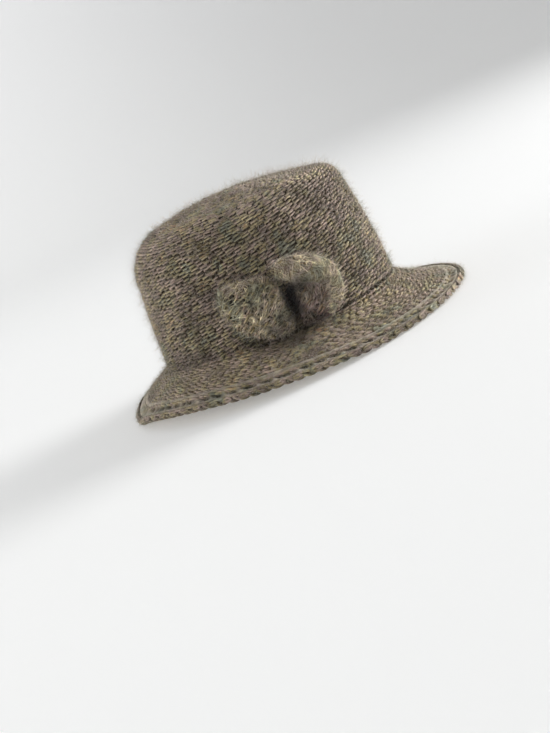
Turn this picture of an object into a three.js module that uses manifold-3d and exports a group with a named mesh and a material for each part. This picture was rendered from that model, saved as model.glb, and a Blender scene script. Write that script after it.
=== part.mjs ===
// A hand-knitted wool hat: a hollow crown with a rounded flat tip, a sloping brim that ends in a thick
// bound-off edge, and a knitted bow sewn to the crown on the wearer's right.
// Millimetres, +Z up. The brim's edge stands on z = 0, the front of the hat faces -Y and the wearer's
// right is -X. A turn is an angle seen from above, from the front (0) through the wearer's right to the back.
import * as THREE from "three";
import { mergeVertices } from "three/addons/utils/BufferGeometryUtils.js";
import Module from "manifold-3d";

const wasm = await Module();
wasm.setup();

// The join is the line where the crown's wall meets the brim. It fits a head 57 cm round.
const join = { height: 29.3, halfLength: 103.6, halfWidth: 87 };
const crown = {
  frontRise: 105,
  backRise: 110.7,
  tipHalfLength: 96,
  tipHalfWidth: 78,
  tipShift: 1.7,
  wallBulge: 1.4,
  dome: 8,
  cornerRadius: { front: 19, side: 26, back: 41 },
  thickness: 4,
};
// How far the brim reaches out from the join, how much its slope is hollow (-) or rounded (+), and how far
// the soft join itself strays up or down.
const brimByTurn = [
  { at: "front", reach: 54, bulge: -3.5, joinRise: 0 },
  { at: "front quarter", reach: 48.5, bulge: -3, joinRise: -3.5 },
  { at: "side", reach: 48, bulge: -1, joinRise: -0.5 },
  { at: "back quarter", reach: 45.9, bulge: 0, joinRise: 4 },
  { at: "back", reach: 41.4, bulge: 1.5, joinRise: 0.5 },
];
const brim = { thickness: 4.5, edgeWidth: 9 };
// The edge's web runs back from the roll to the brim, and the roll is a little fuller below its middle.
const edge = { radius: 3, flatHalfWidth: 1.4, webEnd: 0.55, lowFullness: 0.2 };
// The rim stands on z = 0 at its front quarters and its back, where it is pressed flat, and lifts between,
// more on the right than on the left.
const rimLiftByTurn = [
  { turn: 0, right: 0.4, left: 0.4 },
  { turn: 22.5, right: 0.6, left: 0.4 },
  { turn: 45, right: 0.2, left: 0 },
  { turn: 67.5, right: -0.6, left: -0.6 },
  { turn: 90, right: 3.6, left: 1.8 },
  { turn: 112.5, right: 6.6, left: 3.4 },
  { turn: 135, right: 9, left: 4 },
  { turn: 157.5, right: 6.5, left: 2.4 },
  { turn: 180, right: -1.4, left: -1.4 },
];
// The front of the brim reaches further than its back, so this puts the middle of the hat over the origin.
const middleY = (brimByTurn[0].reach - brimByTurn[4].reach) / 2;
const gap = 0.3;
const around = 60;
// Where the rings of the crown lie, from its wall over its corner to its tip, and those of the brim,
// from the join to the start of its edge.
const crownLevels = [0.35, 0.7, 1, 1.2, 1.4, 1.6, 1.8, 2, 2.3, 2.65];
const brimShares = [0, 0.14, 0.28, 0.42, 0.56, 0.7, 0.85, 1];
const degree = Math.PI / 180;

// The bow is drawn on the crown's wall laid flat: along towards the front, up, and out from the wall,
// all from the pinch in the middle of the bow.
const pinch = { along: -1.5, height: 27, clearance: 0.6 };
const backLoop = [
  { along: -1, up: -4.5, halfHeight: 12, depth: 8 },
  { along: -4.5, up: -3, halfHeight: 19.5, depth: 15 },
  { along: -11, up: -0.5, halfHeight: 23, depth: 22 },
  { along: -21, up: 3, halfHeight: 24, depth: 26 },
  { along: -31.5, up: 6.5, halfHeight: 23, depth: 25 },
  { along: -40, up: 9.5, halfHeight: 20, depth: 21 },
  { along: -46, up: 11.5, halfHeight: 14.5, depth: 15 },
  { along: -49, up: 12.5, halfHeight: 8, depth: 9 },
];
const frontLoop = [
  { along: 1.5, up: -7, halfHeight: 11, depth: 5 },
  { along: 5, up: -8, halfHeight: 16, depth: 9 },
  { along: 12, up: -8, halfHeight: 18, depth: 13 },
  { along: 21, up: -9, halfHeight: 17, depth: 15 },
  { along: 28.5, up: -9.5, halfHeight: 13.5, depth: 14.5 },
  { along: 33.5, up: -9.5, halfHeight: 9.5, depth: 11 },
  { along: 36.5, up: -9.5, halfHeight: 5, depth: 7 },
];
// Where each loop closes to a point: at its root by the pinch and at its far tip.
const backLoopEnds = { root: -0.4, tip: -50 };
const frontLoopEnds = { root: 0.6, tip: 37.5 };
// The upper edge of the front loop curls forward into a fat roll that runs over it and down its front.
const roll = [
  { along: 4, up: 21.5, out: 15, radius: 7.5 },
  { along: 14.5, up: 16.5, out: 16, radius: 9.5 },
  { along: 24, up: 12, out: 15.5, radius: 9.5 },
  { along: 31, up: 5, out: 14, radius: 8.5 },
  { along: 33, up: -4, out: 13, radius: 7.5 },
  { along: 30.5, up: -12, out: 12, radius: 6.5 },
  { along: 24.5, up: -18.5, out: 10.5, radius: 5 },
];
const loopSides = 16;
const rollSides = 12;
const rollSteps = 14;

// A smooth value at a turn, from values at even turns between the front and the back, alike on both sides.
function byTurn(values, turn) {
  const last = values.length - 1;
  const folded = Math.abs(THREE.MathUtils.euclideanModulo(turn + Math.PI, 2 * Math.PI) - Math.PI);
  const place = (folded / Math.PI) * last;
  const start = Math.min(Math.floor(place), last - 1);
  const part = place - start;
  const [before, from, to, after] = [-1, 0, 1, 2].map((step) => {
    const index = Math.abs(start + step);
    return values[index > last ? 2 * last - index : index];
  });
  const slopeFrom = (to - before) / 2;
  const slopeTo = (after - from) / 2;
  return (
    from +
    slopeFrom * part +
    (3 * (to - from) - 2 * slopeFrom - slopeTo) * part ** 2 +
    (2 * (from - to) + slopeFrom + slopeTo) * part ** 3
  );
}

// A point on the crown's outside: level 0 to 1 climbs the wall, 1 to 2 rounds the corner, 2 to 3 crosses the tip.
function crownSurface(turn, level) {
  const { frontRise, backRise, tipHalfLength, tipHalfWidth, tipShift, wallBulge, dome } = crown;
  const { front, side, back } = crown.cornerRadius;
  const radius = byTurn([front, side, back], turn);
  const towards = -Math.cos(turn);
  const rise = (frontRise + backRise) / 2 + ((backRise - frontRise) / 2) * towards;
  let halfLength = tipHalfLength;
  let halfWidth = tipHalfWidth;
  let shift = tipShift;
  let height = rise;
  if (level <= 1) {
    const bulge = wallBulge * 4 * level * (1 - level);
    halfLength = THREE.MathUtils.lerp(join.halfLength, tipHalfLength, level) + bulge;
    halfWidth = THREE.MathUtils.lerp(join.halfWidth, tipHalfWidth, level) + bulge;
    shift = tipShift * level;
    height = (rise - radius) * level;
  } else if (level <= 2) {
    const bend = (level - 1) * 90 * degree;
    halfLength -= radius * (1 - Math.cos(bend));
    halfWidth -= radius * (1 - Math.cos(bend));
    height = rise - radius + radius * Math.sin(bend);
  } else {
    const left = 3 - level;
    halfLength = (halfLength - radius) * left;
    halfWidth = (halfWidth - radius) * left;
    const tilt = ((backRise - frontRise) / 2) * towards * left;
    height = (frontRise + backRise) / 2 + tilt + dome * (1 - left ** 2);
  }
  return new THREE.Vector3(
    -halfWidth * Math.sin(turn),
    halfLength * towards + shift + middleY,
    join.height + height,
  );
}

// How much the rim lifts off z = 0 at a turn.
function rimLift(turn) {
  const side = Math.sin(turn) > 0 ? "right" : "left";
  return Math.max(0, byTurn(rimLiftByTurn.map((row) => row[side]), turn));
}

// A point at a height, a given distance out from the join.
function beyondJoin(turn, distance, height) {
  return new THREE.Vector3(
    -(join.halfWidth + distance) * Math.sin(turn),
    -(join.halfLength + distance) * Math.cos(turn) + middleY,
    height,
  );
}

const brimValue = (column, turn) => byTurn(brimByTurn.map((row) => row[column]), turn);
const reachAt = (turn) => brimValue("reach", turn) - edge.radius;
const joinHeight = (turn) => join.height + brimValue("joinRise", turn);

// A point on the brim's upper side: share 0 is at the join and 1 on top of the rolled edge.
function brimSurface(turn, share) {
  const bulge = brimValue("bulge", turn) * 4 * share * (1 - share);
  const height = THREE.MathUtils.lerp(joinHeight(turn) - gap, 2 * edge.radius + rimLift(turn), share);
  return beyondJoin(turn, reachAt(turn) * share, height + bulge);
}

// A point beside a surface, at a distance measured square to it, out and up being positive.
function beside(surface, turn, place, distance) {
  const small = 1e-3;
  const across = surface(turn + small, place).sub(surface(turn - small, place));
  const along = surface(turn, place + small).sub(surface(turn, place - small));
  const normal = across.cross(along).normalize();
  const outAndUp = new THREE.Vector3(-Math.sin(turn), -Math.cos(turn), 1);
  return surface(turn, place).addScaledVector(normal, normal.dot(outAndUp) < 0 ? -distance : distance);
}

const ring = (pointAt) => Array.from({ length: around }, (_, step) => pointAt((step / around) * 2 * Math.PI));

// A closed skin through rings of equal length. A ring of one point is a pole, and without poles
// the last ring joins the first.
function skin(rings) {
  const points = rings.flat();
  const starts = [];
  rings.reduce((start, row) => {
    starts.push(start);
    return start + row.length;
  }, 0);
  const faces = [];
  const looped = rings[0].length > 1;
  const count = looped ? rings.length : rings.length - 1;
  for (let index = 0; index < count; index += 1) {
    const next = (index + 1) % rings.length;
    const sides = Math.max(rings[index].length, rings[next].length);
    for (let side = 0; side < sides; side += 1) {
      const corner = (row, step) => starts[row] + ((side + step) % rings[row].length);
      const [a, b, c, d] = [corner(index, 0), corner(index, 1), corner(next, 1), corner(next, 0)];
      if (a !== b) faces.push(a, b, d);
      if (c !== d) faces.push(b, c, d);
    }
  }
  const geometry = new THREE.BufferGeometry().setFromPoints(points).setIndex(faces);
  return enclosedVolume(geometry) < 0 ? geometry.setIndex(faces.reverse()) : geometry;
}

function enclosedVolume(geometry) {
  const position = geometry.attributes.position;
  const corner = (index) => new THREE.Vector3().fromBufferAttribute(position, geometry.index.array[index]);
  let volume = 0;
  for (let index = 0; index < geometry.index.count; index += 3) {
    volume += corner(index).dot(corner(index + 1).cross(corner(index + 2))) / 6;
  }
  return volume;
}

function toSolid(geometry) {
  const merged = mergeVertices(geometry);
  const mesh = new wasm.Mesh({
    numProp: 3,
    vertProperties: new Float32Array(merged.attributes.position.array),
    triVerts: new Uint32Array(merged.index.array),
  });
  return new wasm.Manifold(mesh);
}

function toGeometry(solid) {
  const { vertProperties, triVerts } = solid.getMesh();
  const geometry = new THREE.BufferGeometry();
  geometry.setAttribute("position", new THREE.BufferAttribute(vertProperties, 3));
  return geometry.setIndex(new THREE.BufferAttribute(triVerts, 1));
}

// The crown is an even knitted wall, open below, from the join to the tip and back down inside.
function crownShell() {
  const foot = (distance) => ring((turn) => beyondJoin(turn, distance, joinHeight(turn)));
  const rowAt = (level, distance) => ring((turn) => beside(crownSurface, turn, level, distance));
  const face = (distance) => crownLevels.map((level) => rowAt(level, distance));
  const tip = crownSurface(0, 3);
  const tipInside = tip.clone().setZ(tip.z - crown.thickness);
  return skin([
    [tip],
    ...face(0).reverse(),
    foot(0),
    foot(-crown.thickness),
    ...face(-crown.thickness),
    [tipInside],
  ]);
}

// The share of the brim's reach where the bound-off edge begins.
const edgeShare = (turn, extra = 0) => 1 - (brim.edgeWidth - extra) / reachAt(turn);

// The brim starts under the crown's wall and slopes down to the edge.
function brimShell() {
  const inner = (depth) => ring((turn) => beyondJoin(turn, -crown.thickness, joinHeight(turn) - gap - depth));
  const face = (distance) =>
    brimShares.map((share) => ring((turn) => beside(brimSurface, turn, share * edgeShare(turn), distance)));
  return skin([
    inner(0),
    ...face(0),
    ...face(-brim.thickness).reverse(),
    inner(brim.thickness),
  ]);
}

// The bound-off edge is a fat roll that stands on a narrow flat strip, with a short web back to the brim.
function brimEdge() {
  const { radius, flatHalfWidth, webEnd, lowFullness } = edge;
  const shareAt = (turn, part) => {
    const start = edgeShare(turn, gap);
    return start + (1 - start) * part;
  };
  const webFace = (distance) =>
    [0, webEnd].map((part) => ring((turn) => beside(brimSurface, turn, shareAt(turn, part), distance)));
  const lip = (out, up) => ring((turn) => beyondJoin(turn, reachAt(turn) + out, radius + rimLift(turn) + up));
  const slant = radius * Math.SQRT1_2;
  return skin([
    ...webFace(0),
    lip(0, radius),
    lip(slant, slant),
    lip(radius, 0),
    lip(slant + lowFullness, -slant),
    lip(flatHalfWidth, -radius),
    lip(-flatHalfWidth, -radius),
    ...webFace(-brim.thickness).reverse(),
  ]);
}

// A place given on the flat drawing of the bow, wrapped onto the crown's wall.
function onWall({ along, up, out }) {
  const turn = 90 * degree - (pinch.along + along) / join.halfLength;
  const { side } = crown.cornerRadius;
  const level = (pinch.height + up) / ((crown.frontRise + crown.backRise) / 2 - side);
  return beside(crownSurface, turn, level, pinch.clearance + out);
}

// A puffed loop: rounded sections across the bow that all rest their backs on the wall.
function puff(rows, ends) {
  const sections = rows.map(({ along, up, halfHeight, depth }) =>
    Array.from({ length: loopSides }, (_, side) => {
      const angle = (side / loopSides) * 2 * Math.PI;
      const out = (depth * (1 + Math.sin(angle))) / 2;
      return onWall({ along, up: up + halfHeight * Math.cos(angle), out });
    }),
  );
  const pole = (row, along) => [onWall({ along, up: row.up, out: row.depth / 2 })];
  return skin([pole(rows[0], ends.root), ...sections, pole(rows[rows.length - 1], ends.tip)]);
}

// The roll: a rounded tube along a smooth line through its rows, made thicker by extra.
function rolledTube(rows, extra) {
  const line = new THREE.CatmullRomCurve3(rows.map(({ along, up, out }) => new THREE.Vector3(along, up, out)));
  const outwards = new THREE.Vector3(0, 0, 1);
  const place = (point) => onWall({ along: point.x, up: point.y, out: point.z });
  const radiusAt = (part) => {
    const step = Math.min(Math.floor(part * (rows.length - 1)), rows.length - 2);
    const between = part * (rows.length - 1) - step;
    return THREE.MathUtils.lerp(rows[step].radius, rows[step + 1].radius, between) + extra;
  };
  const endPoint = (part, way) => {
    const reach = radiusAt(part) * way;
    return line.getPoint(part).addScaledVector(line.getTangent(part), reach);
  };
  const sectionAt = (part, scale, push) => {
    const tangent = line.getTangent(part);
    const across = outwards.clone().cross(tangent).normalize();
    const over = tangent.clone().cross(across);
    const centre = line.getPoint(part).addScaledVector(tangent, radiusAt(part) * push);
    return Array.from({ length: rollSides }, (_, side) => {
      const angle = (side / rollSides) * 2 * Math.PI;
      const spread = radiusAt(part) * scale;
      const point = centre.clone().addScaledVector(across, spread * Math.cos(angle));
      return place(point.addScaledVector(over, spread * Math.sin(angle)));
    });
  };
  const body = Array.from({ length: rollSteps + 1 }, (_, step) => sectionAt(step / rollSteps, 1, 0));
  const slope = Math.SQRT1_2;
  return skin([
    [place(endPoint(0, -1))],
    sectionAt(0, slope, -slope),
    ...body,
    sectionAt(1, slope, slope),
    [place(endPoint(1, 1))],
  ]);
}

// A loop of the bow, pressed in where the roll lies on it.
function pressedLoop(rows, ends) {
  return toGeometry(toSolid(puff(rows, ends)).subtract(toSolid(rolledTube(roll, gap))));
}

const wool = (color) => new THREE.MeshStandardMaterial({ color, roughness: 0.95, metalness: 0 });
const hatWool = wool(0x71695c);
const edgeWool = wool(0x7d7566);
const bowWool = wool(0x85796b);

const hat = new THREE.Group();
function add(name, geometry, material) {
  const mesh = new THREE.Mesh(geometry, material);
  mesh.name = name;
  hat.add(mesh);
}

add("crown", crownShell(), hatWool);
add("brim", brimShell(), hatWool);
add("brim_edge", brimEdge(), edgeWool);
add("bow_back_loop", pressedLoop(backLoop, backLoopEnds), bowWool);
add("bow_front_loop", pressedLoop(frontLoop, frontLoopEnds), bowWool);
add("bow_front_roll", rolledTube(roll, 0), bowWool);

export default hat;
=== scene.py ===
# %% [markdown]
# A hand-knitted wool hat with a bow
#
# The hat is a crown and a sloping brim of thick tweed-coloured wool, a heavy bound-off edge, and a fluffy
# bow on the wearer's right. The frame holds its plain solids at their real size. This lesson dresses them:
# every stitch is a real loop of yarn, worked out with numpy, over a thin felted wall, and loose hairs
# stand on top.
#
# The frame comes first, because everything else is measured from it.

import bpy
import numpy as np
from mathutils import Matrix, Vector


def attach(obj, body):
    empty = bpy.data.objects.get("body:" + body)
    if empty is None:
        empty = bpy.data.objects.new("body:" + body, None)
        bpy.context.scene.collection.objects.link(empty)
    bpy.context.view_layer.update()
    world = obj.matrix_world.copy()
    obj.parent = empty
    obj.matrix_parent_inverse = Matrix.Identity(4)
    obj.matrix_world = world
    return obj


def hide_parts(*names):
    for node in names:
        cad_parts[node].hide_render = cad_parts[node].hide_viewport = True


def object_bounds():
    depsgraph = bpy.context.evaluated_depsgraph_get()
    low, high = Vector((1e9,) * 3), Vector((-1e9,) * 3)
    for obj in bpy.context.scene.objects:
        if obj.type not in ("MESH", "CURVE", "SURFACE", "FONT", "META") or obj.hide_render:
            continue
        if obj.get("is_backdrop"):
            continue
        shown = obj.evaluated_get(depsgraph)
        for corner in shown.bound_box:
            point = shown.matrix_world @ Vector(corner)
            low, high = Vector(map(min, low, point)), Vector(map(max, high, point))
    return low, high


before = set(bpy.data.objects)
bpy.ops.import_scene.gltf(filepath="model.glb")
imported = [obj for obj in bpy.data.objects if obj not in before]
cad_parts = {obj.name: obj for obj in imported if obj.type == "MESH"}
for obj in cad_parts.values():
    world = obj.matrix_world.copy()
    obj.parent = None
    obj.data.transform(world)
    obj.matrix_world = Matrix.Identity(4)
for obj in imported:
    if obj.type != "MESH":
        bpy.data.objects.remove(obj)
cad_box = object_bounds()
print("solids of the frame:", ", ".join(sorted(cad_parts)))

# %% [markdown]
# The camera
#
# The photograph was taken from the wearer's right, a little above the brim, and the hat sits tilted in it.
# A hat on a table doesn't tilt, so the camera rolls instead. It could be turned by eye, but then every
# change to the hat would be judged against a moving view. Here its angles are fixed numbers, and it aims so
# that the middle of the hat lands on the pixel where the photograph has it.
#
# All sizes in this lesson are millimetres until a mesh or a camera is made, which takes metres.

# %% Camera
MM = 0.001
PICTURE_WIDTH, PICTURE_HEIGHT = 550, 733
SENSOR = 36.0
UP = np.array([0.0, 0.0, 1.0])
# How far apart two places are taken to measure a slope between them.
SMALL = 1e-3


def unit(vectors):
    """Vectors of length one."""
    return vectors / np.linalg.norm(vectors, axis=-1, keepdims=True)


def place_camera():
    """A camera on a line from the hat's middle, rolled, and aimed so that the middle lands on its pixel.

    A lens stretches what lies off its axis by 1 / cos sideways and by 1 / cos squared outwards. This one is
    shorter by the mean of the two, so the hat keeps its pixels for each millimetre.
    """
    hat_middle = np.array([0.0, 6.3, 64.3])
    middle_pixel = np.array([263.5, 279.0])
    distance = 950.0
    pixels_per_mm = 1.2
    azimuth, elevation, roll = np.radians([98.0, 8.4, 24.2])
    back = unit(np.array([-np.sin(azimuth), -np.cos(azimuth), np.tan(elevation)]))
    level_right = unit(np.cross(-back, UP))
    level_up = np.cross(level_right, -back)
    right = np.cos(roll) * level_right - np.sin(roll) * level_up
    up = np.sin(roll) * level_right + np.cos(roll) * level_up
    aside, below = np.array([PICTURE_WIDTH, PICTURE_HEIGHT]) / 2 - middle_pixel
    depth = distance * pixels_per_mm
    forward = unit(-back * depth + right * aside - up * below)
    right = unit(right - forward * (right @ forward))
    up = np.cross(right, forward)
    eye = (hat_middle + back * distance) * MM
    data = bpy.data.cameras.new("camera")
    data.sensor_width = SENSOR
    off_axis = np.arccos(-back @ forward)
    data.lens = SENSOR * depth * np.cos(off_axis) ** 1.5 / PICTURE_HEIGHT
    camera = bpy.data.objects.new("camera", data)
    camera.matrix_world = Matrix(
        [[*row, place] for row, place in zip(np.stack([right, up, -forward], 1), eye)] + [[0, 0, 0, 1]]
    )
    bpy.context.scene.collection.objects.link(camera)
    bpy.context.scene.camera = camera
    print(f"camera {eye[2]:.3f} m above the floor, lens {data.lens:.1f} mm")


place_camera()

# %% [markdown]
# Meshes from whole arrays
#
# Every piece below is worked out as arrays of points and faces, and goes into its mesh in one step.
# Adding vertices one by one would take minutes for half a million of them. A piece can bring two maps:
# "yarn_run", which says how far along and around its yarn a point lies, for the material, and "OFBake",
# which lays the same yarn out in tidy strips, for anyone who paints or bakes the piece later. Hairs bring
# tones instead, one number for each hair, and so does the matted strip along the edge, for its dark slots.

# %% A mesh from points and faces
def make_piece(name, points, faces, material, maps=None, tones=None):
    """One object at the origin. points are in millimetres, and faces are arrays with 3 or 4 corners a row.

    maps has a UV place for each corner, and tones a number for each point.
    """
    corners = np.concatenate([part.ravel() for part in faces]).astype(np.int32)
    sizes = np.concatenate([np.full(len(part), part.shape[1]) for part in faces]).astype(np.int32)
    starts = np.concatenate([[0], np.cumsum(sizes)[:-1]]).astype(np.int32)
    mesh = bpy.data.meshes.new(name)
    mesh.vertices.add(len(points))
    mesh.vertices.foreach_set("co", (points * MM).astype(np.float32).ravel())
    mesh.loops.add(len(corners))
    mesh.loops.foreach_set("vertex_index", corners)
    mesh.polygons.add(len(starts))
    mesh.polygons.foreach_set("loop_start", starts)
    mesh.polygons.foreach_set("use_smooth", np.full(len(starts), True))
    for map_name, places in (maps or {}).items():
        layer = mesh.uv_layers.new(name=map_name, do_init=False)
        layer.uv.foreach_set("vector", places.astype(np.float32).ravel())
    if tones is not None:
        layer = mesh.attributes.new("hair_tone", "FLOAT", "POINT")
        layer.data.foreach_set("value", tones.astype(np.float32))
    mesh.update(calc_edges=True)
    mesh.materials.append(material)
    piece = bpy.data.objects.new(name, mesh)
    bpy.context.scene.collection.objects.link(piece)
    print(f"{name}: {int((sizes - 2).sum())} triangles")
    return piece


def grid_faces(rows, columns, rows_close=False):
    """Quads between the points of a grid whose columns close on themselves, and whose rows may."""
    row = np.arange(rows if rows_close else rows - 1)[:, None]
    column = np.arange(columns)[None, :]
    next_row = (row + 1) % rows
    next_column = (column + 1) % columns
    corners = [
        row * columns + column,
        row * columns + next_column,
        next_row * columns + next_column,
        next_row * columns + column,
    ]
    return np.stack(corners, -1).reshape(-1, 4)


def enclosed_volume(points, faces):
    """The volume inside closed faces, negative where they point inwards."""
    total = 0.0
    for part in faces:
        for step in range(1, part.shape[1] - 1):
            a, b, c = points[part[:, 0]], points[part[:, step]], points[part[:, step + 1]]
            total += np.einsum("ij,ij->i", a, np.cross(b, c)).sum() / 6
    return total


def closed_skin(grid, poles=None):
    """A closed skin over a grid of rings: points and faces.

    It ends in two poles, or else its last ring meets its first.
    """
    rows, columns = grid.shape[:2]
    points = grid.reshape(-1, 3)
    faces = [grid_faces(rows, columns, rows_close=poles is None)]
    if poles is not None:
        column = np.arange(columns)
        beside = (column + 1) % columns
        last = (rows - 1) * columns
        first_pole, last_pole = len(points), len(points) + 1
        points = np.concatenate([points, poles])
        faces.append(np.stack([np.full(columns, first_pole), beside, column], -1))
        faces.append(np.stack([np.full(columns, last_pole), last + column, last + beside], -1))
    if enclosed_volume(points, faces) < 0:
        faces = [part[:, ::-1] for part in faces]
    return points, faces


# %% [markdown]
# A pale studio
#
# The photograph has a white table that runs into a white wall with no line between them. A studio does that
# with a roll of paper in a wide curve. A roll has a back, which would stand in the way of a camera on the
# other side, so this one is turned about the hat's middle: a wide flat bowl, the same from every side.
# The light is soft: a broad low panel before the hat's front, a weaker one behind its back, a faint one
# overhead, one for the wall, and a pale sky.

# %% Floor, walls and light
def turned_bowl():
    """A profile turned about the vertical: flat to the bend, a quarter circle, then a straight wall."""
    flat_radius, bend_radius, wall_height = 2600.0, 1400.0, 900.0
    floor_height = -0.3
    turn = np.linspace(0, 2 * np.pi, 96, endpoint=False)
    bend = np.linspace(0, np.pi / 2, 24)
    bent_out, bent_up = bend_radius * np.sin(bend), bend_radius * (1 - np.cos(bend))
    radius = np.concatenate([[900.0, 1800.0], flat_radius + bent_out, [flat_radius + bend_radius]])[:, None]
    height = np.concatenate([[0.0, 0.0], bent_up, [bend_radius + wall_height]])[:, None]
    places = radius * np.sin(turn), radius * np.cos(turn), height + floor_height
    grid = np.stack(np.broadcast_arrays(*places), -1)
    points = np.concatenate([grid.reshape(-1, 3), [[0.0, 0.0, floor_height]]])
    column = np.arange(len(turn))
    middle = np.stack([np.full(len(turn), len(points) - 1), (column + 1) % len(turn), column], -1)
    return points, [grid_faces(len(radius), len(turn)), middle]


def light_panel(name, place, size, power, aim=(0.0, 0.0, 0.08)):
    """A square soft light at a place in metres, turned towards the hat unless it aims elsewhere."""
    data = bpy.data.lights.new(name, "AREA")
    data.size = size
    data.energy = power
    panel = bpy.data.objects.new(name, data)
    panel.location = place
    panel.rotation_euler = (Vector(aim) - Vector(place)).to_track_quat("-Z", "Y").to_euler()
    bpy.context.scene.collection.objects.link(panel)


# %% [markdown]
# Shader sums written as Python
#
# A material is a graph of nodes. Wired by hand in code, its sums are hard to read, so this small class
# lets them be written as sums: 1 - gap * 0.5 adds its two Math nodes. Any other node comes from node(), and
# the kinds of node that this hat needs often have short names of their own.

# %% A wire through a material
class Wire:
    """One value inside a material. A sum, difference or product of wires adds the Math node for it."""

    def __init__(self, tree, socket=None):
        self.tree = tree
        self.socket = socket

    def node(self, kind, settings=None, sockets=None, output=0):
        """Adds a node: first its settings, then what its sockets get. Gives back one of its outputs."""
        made = self.tree.nodes.new(kind)
        for name, value in (settings or {}).items():
            if name == "stops":
                set_stops(made.color_ramp, value)
            else:
                setattr(made, name, value)
        for name, value in (sockets or {}).items():
            if isinstance(value, Wire):
                self.tree.links.new(value.socket, made.inputs[name])
            else:
                made.inputs[name].default_value = value
        return Wire(self.tree, made.outputs[output] if made.outputs else None)

    def math(self, operation, *values):
        return self.node("ShaderNodeMath", {"operation": operation}, dict(enumerate(values)))

    def vector_math(self, operation, *others, output=0):
        values = dict(enumerate((self, *others)))
        return self.node("ShaderNodeVectorMath", {"operation": operation}, values, output)

    def scaled(self, amount):
        """This colour times an amount."""
        return self.node("ShaderNodeVectorMath", {"operation": "SCALE"}, {0: self, "Scale": amount})

    def part(self, index):
        """One number of this vector: 0 for x, 1 for y, 2 for z."""
        return self.node("ShaderNodeSeparateXYZ", sockets={0: self}, output=index)

    def noise(self, scale, detail=1.0):
        """Soft random values round 0.5 over this place, with about scale waves to each unit of it."""
        return self.node("ShaderNodeTexNoise", sockets={"Vector": self, "Scale": scale, "Detail": detail})

    def ramp(self, stops):
        """The colour that this value has on a ramp with these stops."""
        return self.node("ShaderNodeValToRGB", {"stops": stops}, {"Fac": self})

    def eased(self, start, end, low, high):
        """A smooth step: low where this value is at start or less, high where it is at end or more."""
        ranges = {"Value": self, "From Min": start, "From Max": end, "To Min": low, "To Max": high}
        return self.node("ShaderNodeMapRange", {"interpolation_type": "SMOOTHSTEP"}, ranges)

    def __add__(self, other):
        return self.math("ADD", self, other)

    def __sub__(self, other):
        return self.math("SUBTRACT", self, other)

    def __rsub__(self, other):
        return self.math("SUBTRACT", other, self)

    def __mul__(self, other):
        return self.math("MULTIPLY", self, other)

    __radd__ = __add__
    __rmul__ = __mul__


def set_stops(ramp, stops):
    """Gives a colour ramp these stops, each a place and a colour."""
    while len(ramp.elements) > 1:
        ramp.elements.remove(ramp.elements[-1])
    (place, colour), *others = stops
    ramp.elements[0].position = place
    ramp.elements[0].color = colour
    for place, colour in others:
        ramp.elements.new(place).color = colour


def shade(red, green, blue, strength=1.0):
    """A colour as a picture shows it, 0 to 255, turned into the light that Blender works with."""
    parts = np.array([red, green, blue]) / 255
    light = np.where(parts <= 0.04045, parts / 12.92, ((parts + 0.055) / 1.055) ** 2.4)
    return (*(light * strength), 1.0)


def new_material(name):
    """An empty material, a first wire in its node tree, and the wire that brings Object coordinates."""
    material = bpy.data.materials.new(name)
    material.use_nodes = True
    material.node_tree.nodes.clear()
    wire = Wire(material.node_tree)
    return material, wire, wire.node("ShaderNodeTexCoord", output="Object")


def finish_material(material, wire, sockets):
    """Gives a material its surface and gives it back."""
    surface = wire.node("ShaderNodeBsdfPrincipled", sockets=sockets)
    wire.node("ShaderNodeOutputMaterial", sockets={"Surface": surface})
    return material


# %% [markdown]
# The studio's paper is matt and nearly even. A faint slow change in its grey keeps it from looking like
# empty screen, and it is darker before the hat's front, where the strong panel would make it too bright.

# %% Studio paper and lights
def studio_paper():
    material, wire, place = new_material("studio_paper")
    stops = [(0.05, shade(234, 234, 233)), (0.9, shade(231, 231, 231))]
    colour = (place.part(2) + place.noise(0.8) * 0.1).ramp(stops)
    colour = colour.scaled(place.part(1).eased(-1.3, 0.5, 0.8, 1.06))
    paper = {"Base Color": colour, "Roughness": 0.9, "Emission Color": colour, "Emission Strength": 0.3}
    return finish_material(material, wire, paper)


def light_studio():
    bowl_points, bowl_faces = turned_bowl()
    bowl = make_piece("studio_bowl", bowl_points, bowl_faces, studio_paper())
    bowl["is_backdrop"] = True
    light_panel("light_above", (0.4, 0.0, 2.2), 1.8, 1)
    light_panel("light_front", (0.1, -2.1, 0.42), 1.2, 75, aim=(-0.3, 0.0, 0.08))
    light_panel("light_back", (0.1, 2.1, 0.12), 1.2, 28, aim=(-0.9, 0.0, 0.08))
    light_panel("light_wall", (0.8, 1.2, 2.2), 1.8, 7, aim=(4.0, 2.2, 1.0))
    world = bpy.data.worlds.new("pale_sky")
    world.use_nodes = True
    sky = world.node_tree.nodes["Background"]
    sky.inputs["Color"].default_value = (0.96, 0.98, 1.0, 1.0)
    sky.inputs["Strength"].default_value = 0.34
    bpy.context.scene.world = world
    bpy.context.scene.view_settings.view_transform = "Standard"


light_studio()

# %% [markdown]
# The wool
#
# The yarn is dyed in changing colours: khaki, mauve, teal-grey, straw and rust drift into each other every
# centimetre or two, and each strand also differs a little from the ones above and below it. Painting that
# would take a picture. Here two noises make it, one in the hat's space for the drifts and one along the
# yarn for the strands, and a ramp turns them into the wool's own colours. Painted shade also darkens the
# cloth in creases and hollows, as a smooth dip in lightness round a spot.

# %% Colours of the wool
WOOL_TONES = [
    (0.34, (132, 132, 117)),
    (0.40, (146, 136, 104)),
    (0.46, (145, 131, 113)),
    (0.52, (144, 127, 119)),
    (0.58, (141, 130, 105)),
    (0.64, (152, 139, 108)),
    (0.72, (152, 120, 97)),
]
# How many waves of colour there are to a metre.
TWEED_DRIFT = 62.0


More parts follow.
